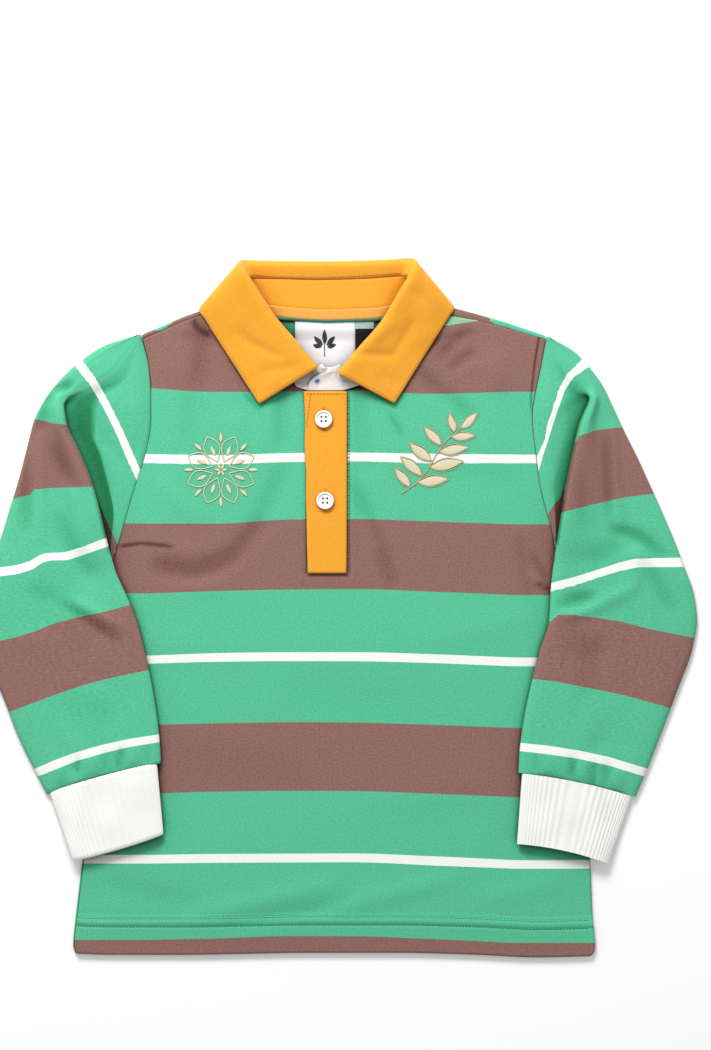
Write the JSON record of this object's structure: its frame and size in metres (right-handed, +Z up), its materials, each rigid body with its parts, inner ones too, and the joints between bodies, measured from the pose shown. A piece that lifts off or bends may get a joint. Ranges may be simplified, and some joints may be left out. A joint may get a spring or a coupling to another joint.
{
  "type": "long-sleeved rugby shirt",
  "caption": "Child's long-sleeved rugby shirt laid flat, in striped jersey with a twill polo collar, buttoned placket and ribbed cuffs.",
  "frame": {"origin": "on the table, under the middle of the whole laid-out shirt", "axes": "+X across the chest towards the right of the laid-out shirt (its wearer's left), +Y from the hem to the collar, +Z up from the table towards the front of the shirt"},
  "size_m": [0.5045, 0.4891, 0.0144],
  "materials": {
    "striped_jersey": "brushed cotton jersey, green and brown blocks with white lines",
    "white_rib": "one-by-one cotton rib knit",
    "orange_twill": "cotton twill, topstitched",
    "neck_tape": "cotton tape",
    "cream_facing": "plain cotton",
    "white_label": "woven satin, blank",
    "black_label": "woven satin, blank",
    "button_plastic": "white, soft gloss"
  },
  "bodies": {
    "root": {"back_panel": "striped_jersey", "front_panel": "striped_jersey", "sleeve_left": "striped_jersey", "sleeve_right": "striped_jersey", "cuff_left": "white_rib", "cuff_right": "white_rib", "collar_leaf": "orange_twill", "collar_stand": "orange_twill", "neck_tape": "neck_tape", "placket_under": "orange_twill", "placket_band": "orange_twill", "placket_facing": "cream_facing", "neck_label": "white_label", "size_tag": "black_label", "button_top": "button_plastic", "button_bottom": "button_plastic"}
  },
  "joints": []
}
